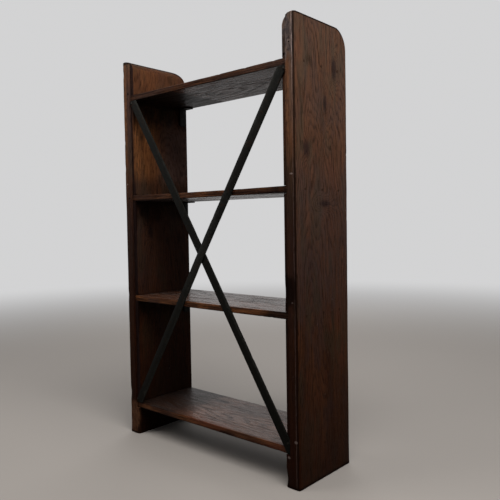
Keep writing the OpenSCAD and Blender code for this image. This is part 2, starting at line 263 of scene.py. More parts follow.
class Graph:
    """Short forms for building a material's nodes; color is the surface's colour so far."""

    def __init__(self, name, **sockets):
        self.mat = bpy.data.materials.new(name)
        self.mat.use_nodes = True
        self.tree = self.mat.node_tree
        self.tree.nodes.clear()
        self.out = self.node("OutputMaterial")
        self.bsdf = self.node("BsdfPrincipled")
        self.tree.links.new(self.bsdf.outputs[0], self.out.inputs[0])
        for k, v in sockets.items():
            self.bsdf.inputs[k.replace("_", " ")].default_value = v
        self.pos = self.node("TexCoord").outputs["Object"]
        self.color = None

    def node(self, kind):
        return self.tree.nodes.new("ShaderNode" + kind)

    def put(self, socket, value):
        if isinstance(value, (int, float)):
            socket.default_value = value
        elif isinstance(value, (tuple, list)):
            is_rgb = len(socket.default_value) == 4 and len(value) == 3
            socket.default_value = (*value, 1.0) if is_rgb else value
        else:
            self.tree.links.new(value, socket)

    def made(self, kind, values, output=0, **settings):
        """A new node with its settings and its inputs set; gives one of its outputs."""
        n = self.node(kind)
        for k, v in settings.items():
            setattr(n, k, v)
        for k, v in values.items():
            self.put(n.inputs[k], v)
        return n.outputs[output]

    def math(self, op, a, b=0.0, clamp=False):
        return self.made("Math", {0: a, 1: b}, operation=op, use_clamp=clamp)

    def less(self, a, b):
        return self.math("SUBTRACT", a, b)

    def most(self, a, b):
        return self.math("MAXIMUM", a, b)

    def total(self, *terms):
        out = terms[0]
        for v in terms[1:]:
            out = self.math("ADD", out, v)
        return out

    def times(self, *factors):
        out = factors[0]
        for v in factors[1:]:
            out = self.math("MULTIPLY", out, v)
        return out

    def swing(self, v, k):
        """A noise from 0 to 1, centred on 0 and multiplied by k."""
        return self.times(self.less(v, 0.5), k)

    def range(self, v, a, b, c=0.0, d=1.0, kind="SMOOTHSTEP"):
        """c where v is at a or beyond it, d where it is at b, and a smooth step between them."""
        return self.made("MapRange", dict(enumerate((v, a, b, c, d))), interpolation_type=kind, clamp=True)

    def ramp(self, v, a, b, most):
        """0 where v is at a, most where it is at b, and a straight line between them."""
        return self.range(v, a, b, 0.0, most, "LINEAR")

    def stripe(self, v, centre, outer, inner):
        """1 where v is within inner of the centre, 0 where it is further than outer."""
        return self.range(self.math("ABSOLUTE", self.less(v, centre)), outer, inner)

    def ellipse(self, *axes):
        """Distance from a centre, measured in the radii: axes are (value, centre, radius)."""
        squares = []
        for v, centre, radius in axes:
            d = self.math("DIVIDE", self.less(v, centre), radius)
            squares.append(self.times(d, d))
        return self.math("SQRT", self.total(*squares))

    def split(self, v):
        n = self.node("SeparateXYZ")
        self.put(n.inputs[0], v)
        return n.outputs

    def join(self, x, y, z):
        return self.made("CombineXYZ", {0: x, 1: y, 2: z})

    def scaled(self, v, scale, shift=(0, 0, 0)):
        return self.made("Mapping", {"Vector": v, "Scale": scale, "Location": shift})

    def noise(self, v, scale=1.0, detail=2.0, rough=0.5, distort=0.0):
        return self.made("TexNoise", {"Vector": v, "Scale": scale, "Detail": detail,
                                      "Roughness": rough, "Distortion": distort})

    def mix(self, f, a, b):
        return self.made("Mix", {0: f, 6: a, 7: b}, 2, data_type="RGBA")

    def coat(self, paint, *shares):
        """Lays a paint over the surface's colour, as strong as the product of the shares."""
        self.color = self.mix(self.times(*shares), self.color, paint)

    def attr(self, name):
        return self.made("Attribute", {}, "Fac", attribute_name=name)

    def bump(self, height, strength, distance, under=None):
        """The normal bent by a height, on top of the normal of an earlier bump."""
        values = {"Height": height, "Strength": strength, "Distance": distance}
        if under is not None:
            values["Normal"] = under
        return self.made("Bump", values)

    def finish(self, rough=None, normal=None, metal=None):
        for k, v in (("Base Color", self.color), ("Roughness", rough), ("Normal", normal), ("Metallic", metal)):
            if v is not None:
                self.put(self.bsdf.inputs[k], v)
        return self.mat


def oak(name, pith, slope, seed, light, mid, worn, ring, gloss, smoothest, wander,
        side=0, knots=(), dash_width=250, dash_depth=0.88):
    """Stained ring-porous oak, of an end board where side is RIGHT or LEFT and of a shelf where it is 0.

    pith: centre of the rings across the grain; slope: lean of the log; ring: year rings to a metre;
    wander: how far the rings stray; knots: (place across, place along, radius across, radius along,
    rings that they push aside); dash_width, dash_depth: fineness and strength of a shelf's dark dashes."""
    g = Graph(name, IOR=1.48, Specular_IOR_Level=gloss)
    x, y, z = g.split(g.pos)
    length, thick = (z, x) if side else (x, z)
    shift = seed * 3.7
    grain = g.join(thick, y, g.total(length, shift))

    def layer(scale, detail, rough, at=None, distort=0.0):
        """Noise stretched along the grain, taken from a place of its own."""
        place = (*at, shift) if at else (0, 0, 0)
        return g.noise(g.scaled(grain, scale, place), 1.0, detail, rough, distort)

    # Slow waves of the log, so that the rings wander along the board
    sway = layer((7, 7, 1.5), 2.0, 0.5)
    sway_wide = layer((5, 5, 1.9), 2.0, 0.5, (9, 4))
    a = g.total(g.less(thick, pith[0]), g.times(length, slope[0]), g.swing(sway, 0.10 * wander))
    b = g.total(g.less(y, pith[1]), g.times(length, slope[1]), g.swing(sway_wide, 0.12 * wander))
    radius = g.math("SQRT", g.total(g.times(a, a), g.times(b, b)))
    fine = layer((90, 90, 6), 3.0, 0.6)
    rings = g.total(g.times(radius, ring), g.times(fine, 1.1))
    core = None
    for k_wide, k_long, r_wide, r_long, push in knots:
        d = g.ellipse((y, k_wide, r_wide), (length, k_long, r_long))
        rings = g.total(rings, g.times(g.math("EXPONENT", g.times(d, d, -0.5)), push))
        k = g.range(g.total(d, g.swing(fine, 0.9)), 1.25, 0.30)
        core = k if core is None else g.most(core, k)
    saw = g.math("FRACT", rings)
    early = g.times(g.range(saw, 0.0, 0.10), g.range(saw, 0.62, 0.22))
    # Bands of several years together, which carry the figure from afar
    band = g.noise(g.join(g.times(radius, 46.0), shift, g.times(length, 0.35)), 1.0, 3.0, 0.62)
    # Open pores: fine dashes along the grain, thick in the early wood
    pore = layer((1050, 1050, 26), 2.0, 0.55)
    pores = g.range(g.total(pore, g.times(early, 0.10)), 0.56, 0.68)
    streak = layer((230, 230, 4.2), 5.0, 0.66, (3, 1))
    broad = layer((11, 11, 2.2), 4.0, 0.55, (1, 8))
    tint = layer((15, 15, 5.5), 3.0, 0.6, (6, 2))
    mottle = layer((95, 95, 60), 4.0, 0.62, (8, 5))

    g.color = g.mix(g.range(streak, 0.34, 0.68), mid, light)
    g.coat(DARK, g.range(band, 0.42, 0.60), 0.50 if side else 0.40)
    g.coat(DARK, early, 0.46)
    g.coat(DARK, g.range(broad, 0.44, 0.72), 0.50)
    # The stain has turned purplish in some patches and foxy red in others, and has worn to amber streaks; the amber
    # also carries painted light on the boards
    g.coat(PURPLED, g.range(tint, 0.50, 0.38), 0.55 if side else 0.25)
    g.coat(FOXED, g.range(tint, 0.53, 0.64), 0.40 if side else 0.55)
    g.coat(DARK, g.range(mottle, 0.52, 0.66), 0.30 if side else 0.12)
    g.coat(AMBER_AND_LIGHT, g.attr("amber_and_light"), g.range(streak, 0.30, 0.62, 0.45, 1.0), g.range(mottle, 0.66, 0.50, 0.45, 1.0))
    if side:
        tone = layer((19, 19, 5.0), 3.0, 0.6, (11, 3))
        g.coat(OLIVE, g.range(tone, 0.49, 0.62), 0.55)
        g.coat(PURPLED, g.range(z, 0.36, 0.50), g.range(z, 0.90, 0.72), g.range(mottle, 0.64, 0.40, 0.20, 0.48))
        # Painted light: a grey painted sheen grows higher up the outer face, painted shade darkens the inner faces in
        # the bays, and painted shade darkens the foot
        inner = g.range(g.times(x, float(side)), IN_X + 0.012, IN_X + 0.002)
        g.coat(TOP_SHEEN, g.ramp(z, 0.42, 1.25, 0.42), g.less(1.0, g.times(inner, 0.75)))
        g.coat(DARK, inner, 0.30)
        g.coat(KNOT, core, 0.78)
        g.coat(FOOT_SHADE, g.ramp(z, 0.86, 0.05, 0.84))
    # Rubbed arrises and faces have gone pale; on the shelves' treads and undersides the pale grey also stands for
    # painted sheen
    rub = layer((60, 60, 22), 5.0, 0.65, (5, 5))
    wear = g.range(g.total(g.attr("wear"), g.swing(rub, 1.1)), 0.42, 0.78)
    worn_color = g.mix(g.range(streak, 0.3, 0.7), worn, toned(worn, 0.62))
    g.coat(worn_color, wear, 0.85)
    if side:
        board_marks(g, side, (x, y, z), streak, mottle, rub)
    g.coat(toned(DARK, 0.35), pores, 0.72)
    if not side:
        dash = layer((dash_width, dash_width, 5.5), 5.0, 0.72, (2, 2))
        dash = g.times(g.range(dash, 0.52, 0.59), g.range(broad, 0.28, 0.52))
        g.coat(toned(DARK, 0.6), dash, dash_depth)
    # Dirt has gathered in the pores and corners, painted shade darkens corners, rebates and the parts under the
    # shelves, and there are scratches across and along the grain
    dirt_cloud = layer((45, 45, 30), 4.0, 0.6, (2, 7))
    dirt = g.range(g.total(g.attr("dirt"), g.swing(dirt_cloud, 0.7)), 0.25, 0.85)
    g.coat(toned(DARK, 0.22), dirt, 0.88)
    nick = layer((500, 70, 60), 3.0, 0.5, (7, 3), 0.6)
    nicks = g.times(g.range(nick, 0.70, 0.76), g.range(broad, 0.45, 0.6))
    g.coat(worn, nicks, 0.35)

    rough = g.total(g.times(streak, 0.16), smoothest, g.times(wear, 0.16), g.times(pores, 0.2))
    if not side:
        rough = g.total(rough, g.times(dash, 0.34 * dash_depth))
    rough = g.math("ADD", rough, g.times(dirt, 0.12), clamp=True)
    relief = g.less(g.times(early, -0.35), g.times(pores, 0.9))
    relief = g.less(relief, g.times(nicks, 0.6))
    planed = layer((220, 220, 14), 4.0, 0.6, (4, 4))
    n = g.bump(planed, 0.45 if side else 0.12, 0.0007)
    n = g.bump(streak, 0.30 if side else 0.09, 0.0010, n)
    n = g.bump(relief, 0.55 if side else 0.80, 0.0005, n)
    return g.finish(rough, n)


def board_marks(g, side, pos, streak, mottle, rub):
    """What is on the end boards alone: dark end grain round the top, and the marks of the back edge."""
    x, y, z = pos
    depth_in = g.less(OUT_X, g.times(x, float(side)))           # from the outer face inwards
    from_back = g.less(BACK_Y, y)
    cy = g.most(g.less(FRONT_Y + CORNER_R, y), 0.0)
    cz = g.most(g.less(z, HIGH - CORNER_R), 0.0)
    outline = g.less(CORNER_R, g.math("SQRT", g.total(g.times(cy, cy), g.times(cz, cz))))
    outline = g.total(outline, g.swing(rub, 0.006))             # from the rounded outline inwards
    rim = g.times(g.range(outline, 0.0070, 0.0040), g.range(depth_in, 0.0085, 0.0045))
    if side == RIGHT:
        rim = g.most(rim, g.times(g.range(outline, 0.0125, 0.0060), g.range(z, HIGH - 0.115, HIGH - 0.085)))
    g.coat(toned(DARK, 0.20), rim, 0.88)
    on_back = g.range(from_back, 0.0030, 0.0012)
    near_back = g.range(from_back, 0.0105, 0.0085)
    if side == LEFT:
        near_back = g.times(near_back, g.range(depth_in, ARRIS - 0.004, ARRIS - 0.001))
    # Painted shade: the back edges grow darker further down
    g.coat(EDGE_SHADE, near_back, g.range(z, 1.04, 0.66, 0.0, 0.62))
    if side == RIGHT:
        right_marks(g, y, z, depth_in, near_back, streak, mottle)
    else:
        wobble = g.total(depth_in, g.swing(rub, 0.0030))
        left_marks(g, z, depth_in, wobble, from_back, near_back, on_back, streak, mottle)
    # Painted shade: the pits and holes are painted near black
    for d_in, up, r in PITS[side]:
        g.coat(HOLE_SHADE, g.range(g.ellipse((depth_in, d_in, r), (z, up, r)), 1.0, 0.6), near_back)
    for d_in, up, r_in, r_up, strength in CHIPS[side]:
        spot = g.range(g.ellipse((depth_in, d_in, r_in), (z, up, r_up)), 1.0, 0.55)
        g.coat(PALE_RUB, spot, on_back, strength)


def right_marks(g, y, z, depth_in, near_back, streak, mottle):
    """The right board's back edge, rebate and rubbed foot, and the inner face of the tray and top bay."""
    high_up = g.times(near_back, g.range(z, 0.80, 0.98))
    g.coat(PURPLED, high_up, g.range(depth_in, 0.017, 0.025), g.range(z, 1.16, 1.09),
           g.range(mottle, 0.66, 0.42, 0.30, 0.66))
    g.coat(OLIVE, high_up, g.range(depth_in, 0.015, 0.009), g.range(mottle, 0.42, 0.62, 0.05, 0.50))
    inner_face = g.range(depth_in, BOARD_T - 0.010, BOARD_T - 0.002)
    g.coat(TRAY_FACE, inner_face, g.range(z, 1.088, 1.100), 0.42)
    # The front part of the top bay's side has kept a paler, purplish skin
    g.coat(BAY_SKIN, inner_face, g.range(y, 0.045, -0.050), g.range(z, 0.790, 0.850),
           g.range(z, 1.055, 0.960), g.range(mottle, 0.64, 0.44, 0.45, 0.90))
    wall = BOARD_T - REBATE_W
    # Painted shade: the right board's rebate is darkened
    g.coat(REBATE_SHADE, g.range(depth_in, wall - 0.0008, wall + 0.0006), near_back,
           g.range(z, REBATE_Z[RIGHT] - 0.004, REBATE_Z[RIGHT]), g.range(mottle, 0.70, 0.40, 0.55, 0.85))
    g.coat(FOOT_RUB, near_back, g.range(z, 0.112, 0.098), g.range(mottle, 0.66, 0.45, 0.35, 0.80))
    # Amber blotches and a painted pool of light on the back part of the inner face inside the top bay
    g.coat(AMBER_AND_LIGHT, inner_face, g.range(y, -0.045, 0.065), g.range(z, 0.795, 0.875),
           g.range(z, 1.055, 0.985), g.range(streak, 0.42, 0.60, 0.22, 0.72),
           g.range(mottle, 0.66, 0.45, 0.40, 1.0))


def left_marks(g, z, depth_in, wobble, from_back, near_back, on_back, streak, mottle):
    """The left board's back edge: grey painted sheen higher up, marbled at the top, with a pale line of rubbed wear and
    painted highlight along the arris beside a strip of painted shade.
    """
    # Painted sheen: the upper back edge is greyed as if lit from above
    g.coat(TOP_SHEEN, near_back, g.range(depth_in, 0.0235, 0.0150), g.range(z, 0.84, 1.02),
           g.range(streak, 0.34, 0.60, 0.35, 0.72))
    marble = g.noise(g.scaled(g.pos, (60, 60, 38), (3, 1, 5)), 1.0, 4.0, 0.62, 0.8)
    at_top = g.times(near_back, g.range(z, 1.085, 1.115))
    g.coat(SLATE, at_top, g.range(marble, 0.44, 0.60, 0.0, 0.72))
    g.coat(OCHRE, at_top, g.range(marble, 0.46, 0.36, 0.0, 0.45))
    # A pale line along the worn arris: rubbed wear and a painted highlight
    g.coat(PALE_RUB, g.stripe(wobble, ARRIS + 0.0030, 0.0021, 0.0006), on_back,
           g.range(z, 0.97, 1.16, 0.07, 0.80), g.range(mottle, 0.66, 0.45, 0.45, 1.0))
    # Painted shade: a dark strip on the arris's round
    g.coat(toned(DARK, 0.35), g.stripe(wobble, ARRIS - 0.0015, 0.0032, 0.0018),
           g.range(from_back, 0.0065, 0.0045), 0.80)


def iron(name, base, high, rust, metal, seed):
    """Old blackened iron: scale, pits, rubbed edges and a bloom of rust, with painted shade that darkens it towards the
    floor.
    """
    g = Graph(name, IOR=1.5, Specular_IOR_Level=0.045)
    p = g.scaled(g.pos, (1, 1, 1), (seed, 0, 0))
    clouds = g.noise(p, 42.0, 5.0, 0.6)
    mottle = g.noise(p, 170.0, 4.0, 0.62)
    grit = g.noise(p, 900.0, 3.0, 0.6)
    pits = g.range(g.made("TexVoronoi", {"Vector": p, "Scale": 420.0}, "Distance"), 0.10, 0.26)
    g.color = g.mix(g.range(mottle, 0.38, 0.66), base, high)
    rusty = g.times(g.range(clouds, 0.52, 0.70), g.range(mottle, 0.40, 0.62))
    g.coat(rust, rusty, 0.8)
    g.coat(toned(base, 0.35), g.less(1.0, pits), 0.5)
    # Painted shade: darker towards the floor
    low = g.ramp(g.split(g.pos)[2], 0.95, 0.15, 0.85)
    g.coat((base[0] * 0.42, base[1] * 0.36, base[2] * 0.26), low)
    edge = g.range(g.total(g.attr("wear"), g.swing(mottle, 0.9)), 0.5, 0.85)
    g.coat(toned(high, 2.1), edge, 0.55)
    rough = g.total(g.times(mottle, 0.28), g.times(rusty, 0.25), g.times(edge, -0.10))
    rough = g.math("ADD", rough, 0.40, clamp=True)
    n = g.bump(clouds, 0.5, 0.0006)
    n = g.bump(g.total(g.times(pits, 0.7), g.times(grit, 0.5)), 0.4, 0.0003, n)
    return g.finish(rough, n, g.times(g.less(1.0, rusty), metal))


def wax(name, base):
    """Hard stopping wax, rubbed level with the board, with painted light that makes it paler higher up, as on the wood.
    """
    g = Graph(name, IOR=1.45, Specular_IOR_Level=0.02)
    m = g.noise(g.pos, 900.0, 4.0, 0.6)
    g.color = g.mix(g.range(m, 0.35, 0.7), base, toned(base, 1.9))
    g.coat(WAX_LIGHT, g.ramp(g.split(g.pos)[2], 0.15, 1.05, 0.75))
    return g.finish(g.total(g.times(m, 0.3), 0.4), g.bump(m, 0.4, 0.0004))


def nail(name, base):
    """Plain drawn steel, dull and spotted."""
    g = Graph(name, IOR=2.0, Metallic=1.0)
    m = g.noise(g.scaled(g.pos, (30, 400, 400)), 1.0, 4.0, 0.6)
    spots = g.range(g.noise(g.pos, 700.0, 3.0, 0.6), 0.55, 0.7)
    g.color = g.mix(g.range(m, 0.3, 0.7), base, toned(base, 1.6))
    g.coat(NAIL_SPOT, spots, 0.7)
    return g.finish(g.total(g.times(spots, 0.3), 0.34), g.bump(m, 0.3, 0.0002))


BOARD_OAK = {"light": LIGHT, "mid": MID, "worn": WORN, "ring": 260.0, "gloss": 0.02, "smoothest": 0.36, "wander": 1.0}
oak_right = oak("oak_board_right", (0.53, -0.02), (-0.055, 0.03), 1, side=RIGHT, **BOARD_OAK,
                knots=[(0.055, 0.655, 0.014, 0.022, 5.0), (-0.040, 1.02, 0.012, 0.020, 4.0)])
oak_left = oak("oak_board_left", (-0.52, 0.03), (0.060, -0.025), 2, side=LEFT, **BOARD_OAK,
               knots=[(-0.0555, 1.086, 0.014, 0.036, 7.0), (-0.0066, 0.728, 0.030, 0.012, 5.0),
                      (0.072, 0.866, 0.015, 0.026, 4.0), (-0.012, 0.990, 0.009, 0.030, 6.0)])

# One value for each shelf, from the bottom one up
SHELF_GLOSS = (0.34, 0.40, 0.50, 0.075)
DASH_WIDTH = (190, 62, 62, 250)
DASH_DEPTH = (0.58, 0.88, 0.70, 0.88)
TREAD_WEAR_AND_SHEEN = (0.10, 0.24, 0.26, 0.13)
BACK_AMBER = (0.30, 0.50, 0.22, 0.12)
# Painted reflection on the undersides of the two upper shelves
UNDER_SHEEN = {UPPER: (0.22, 0.22), TOP: (0.22, 0.25)}       # least, and more in patches


def shelf_oak(i, name, **finish):
    """A finish of shelf i; all its finishes are cut from the same log."""
    turn = (-1) ** i
    return oak(f"{name}_{i}", (SHELF_Z[i][0] - 0.13, 0.02 * turn), (0.03 * turn, 0.02), 3 + i,
               worn=SHELF_WORN, ring=230.0, wander=0.35, **finish)


shelf_oaks = [shelf_oak(i, "oak_shelf", light=LIGHT, mid=MID, gloss=SHELF_GLOSS[i], smoothest=0.17,
                        dash_width=DASH_WIDTH[i], dash_depth=DASH_DEPTH[i]) for i in range(4)]
edge_oaks = [shelf_oak(i, "oak_edge", light=toned(LIGHT, 0.62), mid=toned(MID, 0.72), gloss=0.05, smoothest=0.40)
             for i in range(4)]
strap_iron = iron("strap_iron", (0.0045, 0.0045, 0.0037), (0.0098, 0.0096, 0.0082), (0.026, 0.012, 0.006), 0.2, 0.0)
bracket_iron = iron("bracket_iron", (0.0050, 0.0048, 0.0044), (0.0105, 0.0100, 0.0090), (0.028, 0.012, 0.006), 0.2, 3.0)
screw_steel = iron("screw_steel", (0.012, 0.0115, 0.0105), (0.026, 0.025, 0.022), (0.045, 0.020, 0.010), 0.4, 6.0)
nail_steel = nail("nail_steel", (0.16, 0.155, 0.15))
dark_wax = wax("dark_wax", (0.0125, 0.0054, 0.0030))


# -------------------- end boards

def arc(cx, cy, r, t0, t1, n):
    """n points of an arc, its angles given in half turns."""
    return [(cx + r * math.cos(t), cy + r * math.sin(t)) for t in np.linspace(t0 * math.pi, t1 * math.pi, n)]


def line(a, b, n):
    """n points from a towards b, without b."""
    return [(a[0] + (b[0] - a[0]) * k / n, a[1] + (b[1] - a[1]) * k / n) for k in range(n)]


def drawn_in(h, r):
    """How far a rounding of radius r draws a surface in, at height h above where it starts."""
    h = min(max(h, 0), r)
    return r - math.sqrt(r * r - h * h)


def board_section(z, side):
    """Section of an end board at height z, drawn for the +X side: (x, y) points, always equally many."""
    e = 3 * SKIN + drawn_in(max(z - (HIGH - END_ARRIS), FOOT_ARRIS - z), END_ARRIS)
    x_in = IN_X + e + drawn_in(z - (HIGH - TOP_ROUND), TOP_ROUND)
    y_front = FRONT_Y + e + drawn_in(z - (HIGH - CORNER_R), CORNER_R)
    out, back, floor = OUT_X - e, BACK_Y - e, FLOOR_Y - e
    r, r_out = FRONT_ARRIS, 2 * FRONT_ARRIS
    # Front face, from the inner arris outwards
    pts = arc(x_in + r, y_front + r, r, 1, 1.5, 5)[:-1]
    pts += line((x_in + r, y_front), (out - r_out, y_front), 8)
    pts += arc(out - r_out, y_front + r_out, r_out, 1.5, 2, 6)[:-1]
    # Outer face
    pts += line((out, y_front + r_out), (out, back - ARRIS), 34)
    pts += arc(out - ARRIS, back - ARRIS, ARRIS, 0, 0.5, 9)[:-1]
    # Back edge and the rebate
    if z >= REBATE_Z[side]:
        x_wall = max(IN_X + REBATE_W, x_in + 4 * APART)
        rw = 0.001 + 0.0045 * float(smooth(HIGH - 0.035, HIGH - 0.004, z))     # worn round at the top
        x_lip = min(x_in + LIP, x_wall - APART)
        pts += line((out - ARRIS, back), (x_wall + rw, back), 12)
        pts += arc(x_wall + rw, back - rw, rw, 0.5, 1, 5)
        pts += line((x_wall, back - rw - 3 * APART), (x_wall, floor), 3)
        pts += line((x_wall, floor), (x_lip, floor), 4)
        if x_in < x_wall - 0.0014:
            pts += arc(x_lip, floor - LIP, LIP, 0.5, 1, 4)[:-1]
        else:
            pts += [(x_wall - APART, floor - APART * k) for k in range(3)]
        y_inner = floor - LIP
    else:
        centre = (x_in + INNER_ROUND, back - INNER_ROUND, INNER_ROUND)
        pts += line((out - ARRIS, back), (x_in + INNER_ROUND, back), 12)
        pts += arc(*centre, 0.5, 0.62, 5) + arc(*centre, 0.62, 0.75, 4)[1:]
        pts += arc(*centre, 0.75, 0.93, 5)[1:] + arc(*centre, 0.93, 1, 4)[:-1]
        y_inner = back - INNER_ROUND
    # Inner face, back to front
    return pts + line((x_in, y_inner - 2 * APART), (x_in, y_front + r + 3 * APART), 34)


def board_heights(side):
    """Heights of a board's sections, closer together at the foot, the top and the rebate's end."""
    quarter, crown, clear = math.pi / 2, 0.075, 0.0035      # clear: at the foot and beside the rebate's end
    zs = list(np.linspace(clear, HIGH - crown, 190))
    zs += list(HIGH - crown + 0.072 * np.sin(np.linspace(0, quarter, 26))[1:-1])
    zs += [HIGH - END_ARRIS * (1 - math.sin(t)) for t in np.linspace(0, quarter, 6)[:-1]] + [HIGH - 0.00002]
    zs += [FOOT_ARRIS * (1 - math.sin(t)) for t in np.linspace(0, quarter, 4)]
    zr = REBATE_Z[side]
    return sorted([z for z in zs if abs(z - zr) > clear] + [zr - 0.0002, zr + 0.0002])


def from_knock(co, sx, sy, sz):
    """Distance of each point from a knock's middle, shortened along the grain."""
    return np.linalg.norm((co - np.array([OUT_X - sx, BACK_Y - sy, sz])) / KNOCK_STRETCH, axis=1)


def worn_away(me, side, seed):
    """The board's points with softened arrises, a slight hand-planed waviness and knocks.
    Every move is inwards, so that the piece stays inside the CAD model's box."""
    co = vertex_values(me, "co")
    x, y, z = co.T
    near = np.minimum.reduce([
        np.hypot(OUT_X - x, BACK_Y - y), np.hypot(OUT_X - x, y - FRONT_Y),
        np.hypot(x - IN_X, y - FRONT_Y), np.hypot(x - (IN_X + REBATE_W), BACK_Y - y)])
    p = np.column_stack([x * side, y, z])
    bumps = cloud(p, (0.02, 0.02, 0.035), seed)
    knocks = smooth(0.45, 0.95, noise(p, (0.012, 0.012, 0.016), seed + 5))
    pull = 0.0003 + 0.0006 * cloud(p, (0.05, 0.05, 0.16), seed + 1)
    pull = pull + smooth(0.010, 0.0, near) * (0.0009 * bumps + 0.0022 * knocks)
    inner = (np.abs(x - IN_X) < 0.004) | (np.abs(y - FLOOR_Y) < 0.003)
    pull = np.where(inner, np.minimum(pull, 0.0007), pull)
    keep_floor = smooth(0.0, 0.012, z)
    me.update()
    co = co - vertex_values(me, "normal") * (pull * np.maximum(keep_floor, 0.15))[:, None]
    co[:, 2] = np.maximum(co[:, 2], 0.0)
    for sx, sy, sz, r, depth in KNOCKS[side]:
        share = smooth(r, 0, from_knock(co, sx, sy, sz))
        centre = np.array([(OUT_X + IN_X) / 2, BACK_Y - 0.03, sz])
        v = centre - np.array([OUT_X - sx, BACK_Y - sy, sz])
        v = v / np.linalg.norm(v)
        co += (share * depth)[:, None] * v
    return np.clip(co, (IN_X, FRONT_Y, 0.0), (OUT_X - SKIN, BACK_Y - SKIN, HIGH))


def board_cutters(side):
    """The nail holes of the back edge, the punched holes over the shelf nails and the housings."""
    bm = bmesh.new()
    past_back = BACK_Y + BEYOND
    for d, hz in NAIL_HOLES[side]:
        cylinder(bm, 1, (BACK_Y - 0.009, past_back), (side * (OUT_X - d), hz), NAIL_HOLE_R, 20)
    if side == LEFT:
        d, hz, r = REBATE_HOLE
        cylinder(bm, 1, (FLOOR_Y - 0.008, past_back), (side * (OUT_X - d), hz), r, 20)
    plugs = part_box("right_nail_stoppings")
    y0, y1 = plugs[0].y + PLUG_R, plugs[1].y - PLUG_R
    for lo, hi in SHELF_Z:
        for py in (y0, (y0 + y1) / 2, y1):
            ends = (side * (OUT_X - PUNCH_DEPTH), side * (OUT_X + BEYOND))
            cylinder(bm, 0, ends, (py, (lo + hi) / 2), PUNCH_R, 24)
    xs, ys = (IN_X - BEYOND, IN_X + HOUSING_DEPTH), (FRONT_Y + HOUSING_STOP, past_back)
    for lo, hi in SHELF_Z:
        v = [bm.verts.new((side * a, b, c)) for a in xs for b in ys for c in (lo - HOUSING_PLAY, hi + HOUSING_PLAY)]
        for f in ((0, 1, 3, 2), (4, 6, 7, 5), (0, 4, 5, 1), (2, 3, 7, 6), (0, 2, 6, 4), (1, 5, 7, 3)):
            bm.faces.new([v[k] for k in f])
    bmesh.ops.recalc_face_normals(bm, faces=bm.faces)
    cutters = bpy.data.meshes.new("cutters")
    bm.to_mesh(cutters)
    bm.free()
    return cutters


def board_mesh(side, seed):
    """An end board, worn, dented and cut."""
    rings = []
    for z in board_heights(side):
        section = np.array(board_section(z, side))
        rings.append(np.column_stack([section, np.full(len(section), z)]))
    me = loft("board", rings)
    co = worn_away(me, side, seed)
    co[:, 0] *= side
    set_coords(me, co)
    if side == LEFT:
        me.flip_normals()
    me = cut(me, board_cutters(side))
    mark_board(me, side, seed)
    return me


